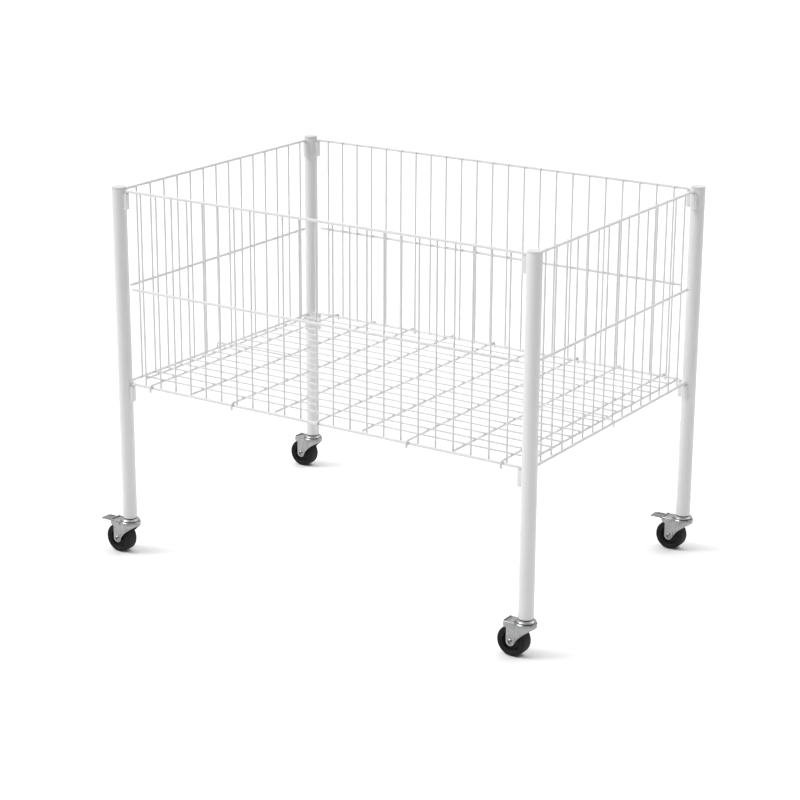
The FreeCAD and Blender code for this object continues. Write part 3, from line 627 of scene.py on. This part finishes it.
def make_floor():
    """Long wires over cross wires; every second cross wire and two long ones hook on the rails."""
    low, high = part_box("floor_grid")
    panel_low, panel_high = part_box("panel_back")
    rail_y = panel_high.y - RAIL_RADIUS
    wire_z = high.z - FLOOR_WIRE_RADIUS
    weld_z = wire_z - FLOOR_WIRE_RADIUS
    cross_z = weld_z - CROSS_WIRE_RADIUS
    half_span = posts["front_right"].x
    upright_pitch = 2 * (half_span - LONG_MARGIN) / (UPRIGHTS["front"][0] - 1)
    pitch = upright_pitch * CROSS_WIRE_PITCH
    shift = upright_pitch * CROSS_WIRE_SHIFT
    half_length = half_span - FLOOR_END_GAP
    half_width = FLOOR_WIRE_PITCH * (FLOOR_WIRE_COUNT - 1) / 2
    bm = bmesh.new()

    along = bmesh.new()
    reach = half_length + CROSS_WIRE_RADIUS
    start = (shift - reach, -half_width, wire_z - FLOOR_WIRE_BITE)
    Strand(along, start, ALONG, FLOOR_WIRE_RADIUS).run(2 * reach).end()
    crossings = [shift - half_length, shift + half_length]
    crossings += [shift + number * pitch
                  for number in range(-CROSS_HALF_COUNT, CROSS_HALF_COUNT + 1)]
    for x in crossings:
        weld(along, Vector((x, -half_width, weld_z)), UP)
    repeat(along, ACROSS * FLOOR_WIRE_PITCH, FLOOR_WIRE_COUNT)
    merge_in(bm, along)

    outermost = bmesh.new()
    half_end = half_width + FLOOR_WIRE_RADIUS
    start = (shift - half_length, -half_end, cross_z)
    Strand(outermost, start, ACROSS, CROSS_WIRE_RADIUS).run(2 * half_end).end()
    repeat(outermost, ALONG * (2 * half_length), 2)
    merge_in(bm, outermost)

    plain = bmesh.new()
    start = (shift - (CROSS_HALF_COUNT - 1) * pitch, -rail_y, cross_z)
    Strand(plain, start, ACROSS, CROSS_WIRE_RADIUS).run(2 * rail_y).end()
    repeat(plain, ALONG * (2 * pitch), CROSS_HALF_COUNT)
    merge_in(bm, plain)

    hooked = bmesh.new()
    hook_bend = high.y - CROSS_WIRE_RADIUS - rail_y
    hook_leg = cross_z - hook_bend - low.z
    start = (shift - CROSS_HALF_COUNT * pitch, -rail_y - hook_bend, low.z)
    wire = Strand(hooked, start, UP, CROSS_WIRE_RADIUS)
    wire.run(hook_leg).bend(ACROSS, hook_bend).run(2 * rail_y)
    wire.bend(-UP, hook_bend).run(hook_leg).end()
    repeat(hooked, ALONG * (2 * pitch), CROSS_HALF_COUNT + 1)
    merge_in(bm, hooked)

    end_hook_foot = panel_low.z + RAIL_LEG - END_HOOK_LEG
    for side, leg_x in ((-1, low.x + FLOOR_WIRE_RADIUS), (1, high.x - FLOOR_WIRE_RADIUS)):
        start_x = shift + side * END_HOOK_START
        wire = Strand(bm, (start_x, -END_HOOK_OFFSET, wire_z), ALONG * side, FLOOR_WIRE_RADIUS)
        wire.run(abs(leg_x - start_x) - END_HOOK_BEND).bend(-UP, END_HOOK_BEND)
        wire.run(wire_z - END_HOOK_BEND - end_hook_foot).end()
        for x in crossings:
            if (x - start_x) * side > -CROSS_WIRE_RADIUS:
                weld(bm, Vector((x, -END_HOOK_OFFSET, weld_z)), UP)
    finish_piece(bm, "floor_wires", "white_wire", "floor", "floor_grid")


# ---------------------------------------------------------------------------------------------
# Casters
# ---------------------------------------------------------------------------------------------
def make_race(corner):
    """Dished upper race, the stem above it and the kingpin's riveted head below the crown."""
    low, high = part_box(f"caster_stem_{corner}")
    crown_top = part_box(f"caster_fork_{corner}")[1].z - SHEET
    race_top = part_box(f"caster_insert_{corner}")[0].z
    rim = (high.x - low.x) / 2
    rim_foot = crown_top + RIM_CLEARANCE
    bm = bmesh.new()
    turn_profile(bm, [
        (0, low.z),
        (5.6 * MM, low.z),
        (7 * MM, low.z + 1.2 * MM),
        (7 * MM, low.z + SHEET),
        (KINGPIN_RADIUS, low.z + SHEET),
        (KINGPIN_RADIUS, race_top - SHEET),
        (11 * MM, race_top - SHEET),
        (rim - 3.0 * MM, rim_foot + 1.6 * MM),
        (rim - 2.6 * MM, rim_foot),
        (rim - 1.0 * MM, rim_foot),
        (rim - 0.1 * MM, rim_foot + 1.5 * MM),
        (rim, rim_foot + 1.8 * MM),
        (rim - 0.1 * MM, rim_foot + 2.1 * MM),
        (rim - 0.4 * MM, rim_foot + 2.4 * MM),
        (rim - 3.6 * MM, race_top - 1.5 * MM),
        (12.5 * MM, race_top),
        (STEM_RADIUS, race_top),
        (STEM_RADIUS, high.z - STEM_CHAMFER),
        (STEM_RADIUS - STEM_CHAMFER, high.z),
        (0, high.z),
    ])
    stand_under(bm, posts[corner])
    finish_piece(bm, f"race_{corner}", "zinc_steel", "bin_frame", f"caster_stem_{corner}",
                 sharp=50)


def make_rivet(corner):
    """The wheel's axle: a rivet with domed heads, rolled over a dark hollow end."""
    low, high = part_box(f"caster_axle_{corner}")
    head = (high.z - low.z) / 2
    half = (high.y - low.y) / 2
    seat = half - RIVET_HEAD_DEPTH
    bm = bmesh.new()
    turn_profile(bm, mirrored([
        (0, seat - 1.4 * MM),
        (2.2 * MM, seat - 1.2 * MM),
        (2.6 * MM, seat - 0.7 * MM),
        (2.9 * MM, half - 0.3 * MM),
        (3.3 * MM, half),
        (3.9 * MM, half - 0.05 * MM),
        (4.7 * MM, half - 0.7 * MM),
        (head - 0.5 * MM, half - 1.5 * MM),
        (head, seat + 0.3 * MM),
        (head - 0.1 * MM, seat),
        (RIVET_SHAFT, seat),
    ]), sides=RIVET_SIDES)
    lay_across(bm, axles[corner])
    finish_piece(bm, f"axle_rivet_{corner}", "zinc_steel", f"caster_{corner}",
                 f"caster_axle_{corner}", sharp=50)


def make_core(corner):
    """The wheel's moulded centre: boss, dished web with a raised ring, rim under the tyre."""
    low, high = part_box(f"wheel_hub_{corner}")
    half = (high.y - low.y) / 2
    rim = (high.z - low.z) / 2
    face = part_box(f"wheel_tyre_{corner}")[1].y - axles[corner].y - CORE_RECESS
    bm = bmesh.new()
    turn_profile(bm, mirrored([
        (WHEEL_BORE, half),
        (7.0 * MM, half),
        (7.5 * MM, half - 0.5 * MM),
        (8.2 * MM, 5.2 * MM),
        (9.5 * MM, 4.4 * MM),
        (12.6 * MM, 4.4 * MM),
        (13.0 * MM, 5.4 * MM),
        (14.4 * MM, 5.4 * MM),
        (14.8 * MM, 4.4 * MM),
        (17.6 * MM, 4.6 * MM),
        (18.9 * MM, 6.2 * MM),
        (19.5 * MM, face - 0.4 * MM),
        (19.9 * MM, face),
        (rim - 0.3 * MM, face),
        (rim, face - 0.3 * MM),
    ]), closed=True)
    lay_across(bm, axles[corner])
    finish_piece(bm, f"wheel_core_{corner}", "wheel_core", f"wheel_{corner}",
                 f"wheel_hub_{corner}", sharp=40)


def make_tyre(corner):
    """The tyre ring: flat tread, round shoulders, two shallow rings moulded on each side."""
    low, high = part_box(f"wheel_tyre_{corner}")
    half = (high.y - low.y) / 2
    tread = (high.z - low.z) / 2
    side = [
        (TYRE_SEAT, half - 1.2 * MM),
        (TYRE_SEAT + 0.8 * MM, half - 0.3 * MM),
        (TYRE_SEAT + 1.6 * MM, half - 0.3 * MM),
        (TYRE_SEAT + 2.0 * MM, half - 1.0 * MM),
        (TYRE_SEAT + 2.7 * MM, half - 1.0 * MM),
        (TYRE_SEAT + 3.1 * MM, half - 0.2 * MM),
        (TYRE_SEAT + 4.1 * MM, half - 0.2 * MM),
        (TYRE_SEAT + 4.5 * MM, half - 0.7 * MM),
        (TYRE_SEAT + 5.0 * MM, half - 0.7 * MM),
        (TYRE_SEAT + 5.4 * MM, half),
    ]
    side += arc(tread - TYRE_SHOULDER, half - TYRE_SHOULDER, TYRE_SHOULDER, QUARTER, 0, steps=6)
    bm = bmesh.new()
    turn_profile(bm, mirrored(side), closed=True)
    mark = bm.verts.layers.float.new("tread")
    for vert in bm.verts:
        radius = math.hypot(vert.co.x, vert.co.y)
        vert[mark] = 1.0 if radius > tread - TREAD_BAND else 0.0
    lay_across(bm, axles[corner])
    finish_piece(bm, f"tyre_{corner}", "wheel_rubber", f"wheel_{corner}",
                 f"wheel_tyre_{corner}", sharp=40)


def slanted_edge(axle, x):
    """The height of the leg's swept front edge, an arc that runs on from the round toe."""
    centre_x = axle.x + (TOE_RADIUS + EDGE_SWEEP) * math.cos(EDGE_ANGLE)
    centre_z = axle.z - (TOE_RADIUS + EDGE_SWEEP) * math.sin(EDGE_ANGLE)
    return centre_z + math.sqrt(EDGE_SWEEP ** 2 - (x - centre_x) ** 2)


def fork_side_view(rear, front, crown, axle):
    """The outline of one fork leg and flange in XZ, from the crown's rear round to its front."""
    foot = crown - FLANGE_DEPTH
    outline = [
        (rear, crown),
        (rear, foot + 4 * MM),
        (rear + 1.2 * MM, foot + 1.2 * MM),
        (rear + 4 * MM, foot),
    ]
    outline += arc(axle.x - TOE_RADIUS - LEG_FILLET, foot - LEG_FILLET, LEG_FILLET, QUARTER, 0,
                   steps=4)
    outline += arc(axle.x, axle.z, TOE_RADIUS, math.pi, math.tau - EDGE_ANGLE, steps=9)
    toe_end = outline[-1][0]
    for step in range(1, EDGE_STEPS + 1):
        x = toe_end + (front - toe_end) * step / EDGE_STEPS
        outline.append((x, slanted_edge(axle, x)))
    return outline + [(front, crown)]


def folded_sheet(outline, middle_y, crown):
    """Two legs and the crown between them, folded from one sheet along its length."""
    bm = bmesh.new()
    near = [bm.verts.new((x, middle_y - FORK_HALF_WIDTH, z)) for x, z in outline]
    leg = bm.faces.new(near)
    far = bmesh.ops.duplicate(bm, geom=near + [leg])["geom"]
    bmesh.ops.translate(bm, verts=verts_of(far), vec=ACROSS * (2 * FORK_HALF_WIDTH))
    top = [vert for vert in bm.verts if vert.co.z > crown - SHEET]
    top.sort(key=lambda vert: (vert.co.y, vert.co.x))
    bm.faces.new((top[0], top[1], top[3], top[2]))
    bmesh.ops.recalc_face_normals(bm, faces=bm.faces)
    folds = [edge for edge in bm.edges if len(edge.link_faces) == 2]
    soften(bm, folds, FORK_FOLD, segments=6)
    bmesh.ops.recalc_face_normals(bm, faces=bm.faces)
    crown_face = max(bm.faces, key=lambda face: face.calc_center_median().z)
    if crown_face.normal.z < 0:
        bmesh.ops.reverse_faces(bm, faces=bm.faces)
    bmesh.ops.solidify(bm, geom=bm.faces, thickness=SHEET)
    round_sharp(bm, PRESSED_EDGE, angle=60)
    return bm


def cut_across(bm, x, drop_rear=False):
    """Cut every face along the plane that stands across X."""
    bmesh.ops.bisect_plane(bm, geom=bm.verts[:] + bm.edges[:] + bm.faces[:], dist=1e-7,
                           plane_co=(x, 0, 0), plane_no=ALONG, clear_inner=drop_rear)


def draw_skirt(bm, post, radius, front):
    """Move the front of both legs out to the ball ring's circle, from where it leaves them."""
    start = -math.acos(FORK_HALF_WIDTH / radius)
    stop = math.asin((front - post.x) / radius)
    for step in range(SKIRT_CUTS):
        cut_across(bm, post.x + radius * math.sin(start + (stop - start) * step / SKIRT_CUTS))
    for vert in bm.verts:
        ahead = vert.co.x - post.x
        if ahead > radius * math.sin(start):
            outwards = math.copysign(1, vert.co.y - post.y)
            vert.co.y += (math.sqrt(radius ** 2 - ahead ** 2) - FORK_HALF_WIDTH) * outwards


def skirt_front(post, axle, crown, radius, front):
    """The part of the skirt that closes the fork in front, below the ball ring."""
    bm = bmesh.new()
    inside = radius - SHEET
    turn_profile(bm, [(inside, 0), (radius, 0), (radius, crown), (inside, crown)], closed=True)
    stand_under(bm, post)
    cut_across(bm, front, drop_rear=True)
    bmesh.ops.holes_fill(bm, edges=[edge for edge in bm.edges if edge.is_boundary], sides=0)
    for vert in bm.verts:
        if vert.co.z < crown / 2:
            vert.co.z = slanted_edge(axle, vert.co.x)
    round_sharp(bm, PRESSED_EDGE, angle=60)
    return bm


def rear_lip(rear, middle_y, crown, half):
    """A low lip turned up along the crown's rear edge."""
    bm = bmesh.new()
    bmesh.ops.create_cube(bm, size=1)
    bmesh.ops.scale(bm, verts=bm.verts, vec=(LIP_THICKNESS, 2 * half, LIP_RISE + LIP_SUNK))
    bmesh.ops.translate(bm, verts=bm.verts, vec=(rear + LIP_THICKNESS / 2, middle_y,
                                                 crown + (LIP_RISE - LIP_SUNK) / 2))
    round_sharp(bm, LIP_ROUND, segments=3, angle=60)
    return bm


def ball_ring(post, crown, top, outer):
    """The lower ball ring pressed on the crown, with a lip that slopes in to its top."""
    bm = bmesh.new()
    turn_profile(bm, [
        (RING_BORE, crown - SHEET),
        (outer - 0.3 * MM, crown - SHEET),
        (outer - 0.1 * MM, crown - 1.2 * MM),
        (outer, crown - 0.4 * MM),
        (outer, crown),
        (outer - 0.1 * MM, crown + 0.3 * MM),
        (outer - 1.7 * MM, crown + 1.65 * MM),
        (outer - 1.95 * MM, top),
        (outer - 2.1 * MM, top - 0.1 * MM),
        (outer - 2.2 * MM, top - 0.5 * MM),
        (outer - 2.3 * MM, crown + 0.05 * MM),
        (RING_BORE, crown + 0.05 * MM),
    ], closed=True)
    stand_under(bm, post)
    return bm


def make_fork(corner):
    """Legs and crown folded from sheet, drawn out and closed in front, with lip and ball ring."""
    low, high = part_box(f"caster_fork_{corner}")
    post, axle = posts[corner], axles[corner]
    crown = high.z - SHEET
    outer = (high.y - low.y) / 2
    front = post.x + FORK_FRONT
    bm = folded_sheet(fork_side_view(low.x, front, crown, axle), post.y, crown)
    draw_skirt(bm, post, outer, front)
    merge_in(bm, skirt_front(post, axle, crown - SKIRT_DROP, outer - SKIRT_SETBACK,
                             front - SKIRT_OVERLAP))
    merge_in(bm, rear_lip(low.x, post.y, crown, FORK_HALF_WIDTH - LIP_INSET))
    merge_in(bm, ball_ring(post, crown, high.z, outer))
    finish_piece(bm, f"fork_{corner}", "zinc_steel", f"caster_{corner}",
                 f"caster_fork_{corner}", sharp=40)


def make_pedal(corner):
    """The brake lever: tab with a turned-down tip, shoe over the tread, rolled barrel."""
    low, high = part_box(f"brake_pedal_{corner}")
    pivot, axle, post = pivots[corner], axles[corner], posts[corner]
    top = pivot.z + PEDAL_BARREL
    under = top - SHEET

    def above_tread(x):
        return axle.z + math.sqrt((WHEEL_RADIUS + SHOE_GAP) ** 2 - (x - axle.x) ** 2)

    shoe_rear, shoe_front = post.x - SHOE_REAR, post.x - SHOE_FRONT
    outline = [
        (low.x, under - 1.2 * MM),
        (low.x + 3 * MM, under - 0.7 * MM),
        (low.x + 8 * MM, under),
        (shoe_rear - 2 * MM, under),
        (shoe_rear - 0.6 * MM, under - 1 * MM),
        (shoe_rear, above_tread(shoe_rear)),
        (shoe_front, above_tread(shoe_front)),
        (shoe_front + 1 * MM, under),
    ]
    roll_start = math.pi - math.asin((PEDAL_BARREL - SHEET) / PEDAL_BARREL)
    outline += arc(pivot.x, pivot.z, PEDAL_BARREL, roll_start, math.tau + QUARTER, steps=14)
    outline += [
        (low.x + 8 * MM, top),
        (low.x + 3 * MM, top - 0.7 * MM),
        (low.x, top - 1.2 * MM),
    ]
    half = (high.y - low.y) / 2
    bm = bmesh.new()
    raise_outline(bm, [(x, pivot.y - half, z) for x, z in outline], ACROSS * (2 * half))
    corners = [edge for edge in bm.edges
               if all(abs(vert.co.x - low.x) < 1e-5 for vert in edge.verts)
               and abs(edge.verts[0].co.z - edge.verts[1].co.z) > 1 * MM]
    soften(bm, corners, PEDAL_CORNER, segments=6, clamp=True)
    round_sharp(bm, PEDAL_EDGE, angle=50)
    finish_piece(bm, f"pedal_{corner}", "zinc_steel", f"pedal_{corner}",
                 f"brake_pedal_{corner}", sharp=40, material=DULL_ZINC)


def make_pin(corner):
    """The pedal's pivot: a pin with its low heads nearly flush with the fork's legs."""
    low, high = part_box(f"brake_pin_{corner}")
    half = (high.y - low.y) / 2
    head = (high.z - low.z) / 2
    bm = bmesh.new()
    turn_profile(bm, mirrored([
        (0, half),
        (head - 0.35 * MM, half),
        (head - 0.1 * MM, half - 0.1 * MM),
        (head, half - PIN_HEAD_DEPTH),
        (PIN_SHAFT, half - PIN_HEAD_DEPTH),
    ]), sides=PIN_SIDES)
    lay_across(bm, pivots[corner])
    finish_piece(bm, f"pin_{corner}", "zinc_steel", f"caster_{corner}", f"brake_pin_{corner}",
                 sharp=45)


# ---------------------------------------------------------------------------------------------
# The bin
# ---------------------------------------------------------------------------------------------
slots = {row["node"]: row["material_slot"] for row in frame["record"]["subparts"]}
for node, piece in frame["nodes"].items():
    piece.data.materials.clear()
    piece.data.materials.append(FINISHES[slots[node]])

for corner in posts:
    make_tube(corner)
    make_cap(corner)
    make_sockets(corner)
    make_race(corner)
    make_fork(corner)
    make_rivet(corner)
    make_core(corner)
    make_tyre(corner)
for corner in pivots:
    make_pedal(corner)
    make_pin(corner)
for side in UPRIGHTS:
    make_panel(side)
make_floor()


# ---------------------------------------------------------------------------------------------
# Studio: floor, light and camera
# ---------------------------------------------------------------------------------------------
FLOOR_HALF_SIZE = 30

AMBIENT = 0.15
CEILING_STRENGTH, CEILING_FOCUS = 1.05, 4
LEFT_BOX, LEFT_STRENGTH, LEFT_FOCUS = (-0.56, -0.44, 0.70), 10.3, 30
RIGHT_BOX, RIGHT_STRENGTH, RIGHT_FOCUS = (0.45, 0.54, 0.71), 3.0, 40
BACKDROP, BACKDROP_STRENGTH = (-0.546, 0.838, 0.1), 1.05
BACKDROP_EDGES = (0.0, 0.75)
GAP_EDGES = (0.09, 0.28)

CAMERA_PLACE = (2.35237, -3.63956, 1.71646)
CAMERA_AZIMUTH = math.radians(33.103)
CAMERA_ELEVATION = math.radians(17.636)
CAMERA_ROLL = math.radians(0.292)
CAMERA_SENSOR, CAMERA_LENS = 36, 97.59


def make_stage():
    """A wide pale floor."""
    bm = bmesh.new()
    bmesh.ops.create_grid(bm, x_segments=1, y_segments=1, size=FLOOR_HALF_SIZE)
    mesh = bpy.data.meshes.new("studio_floor")
    bm.to_mesh(mesh)
    bm.free()
    finish = Finish("studio_floor", Roughness=0.9)
    finish.feed("Base Color", finish.blend(finish.noise(0.4), grey(0.93), grey(0.95)))
    mesh.materials.append(finish.material)
    floor = bpy.data.objects.new("studio_floor", mesh)
    bpy.context.scene.collection.objects.link(floor)


def make_world():
    """Soft light from above, a box on either side, a pale backdrop over a dark gap, a dim rest."""
    world = bpy.data.worlds.new("studio_air")
    world.use_nodes = True
    air = Graph(world.node_tree, "Generated")
    ceiling = air.facing(UP) ** CEILING_FOCUS * CEILING_STRENGTH
    boxes = (air.facing(LEFT_BOX) ** LEFT_FOCUS * LEFT_STRENGTH
             + air.facing(RIGHT_BOX) ** RIGHT_FOCUS * RIGHT_STRENGTH)
    backdrop = air.between(air.facing(BACKDROP), *BACKDROP_EDGES, curve="SMOOTHSTEP")
    above_gap = air.between(air.facing(UP), *GAP_EDGES, curve="SMOOTHSTEP")
    level = AMBIENT + ceiling + boxes + backdrop * above_gap * BACKDROP_STRENGTH
    light = air.node("Background", {}, {"Color": grey(1), "Strength": level})
    surface = air.node("OutputWorld", {}, {})
    air.join(light.outputs[0], surface.inputs["Surface"])
    bpy.context.scene.world = world


def make_camera():
    """A long lens on a tripod, turned by azimuth, elevation and a slight roll."""
    back = Vector((math.sin(CAMERA_AZIMUTH) * math.cos(CAMERA_ELEVATION),
                   -math.cos(CAMERA_AZIMUTH) * math.cos(CAMERA_ELEVATION),
                   math.sin(CAMERA_ELEVATION)))
    level = (-back).cross(UP).normalized()
    over = level.cross(-back)
    right = level * math.cos(CAMERA_ROLL) + over * math.sin(CAMERA_ROLL)
    upward = over * math.cos(CAMERA_ROLL) - level * math.sin(CAMERA_ROLL)
    camera = bpy.data.cameras.new("camera")
    camera.sensor_width = CAMERA_SENSOR
    camera.lens = CAMERA_LENS
    camera.clip_start, camera.clip_end = 0.1, 100
    view = bpy.data.objects.new("camera", camera)
    turn = Matrix((right, upward, back)).transposed().to_4x4()
    view.matrix_world = Matrix.Translation(CAMERA_PLACE) @ turn
    bpy.context.scene.collection.objects.link(view)
    bpy.context.scene.camera = view


make_stage()
make_world()
make_camera()
bpy.context.scene.view_settings.view_transform = "Standard"
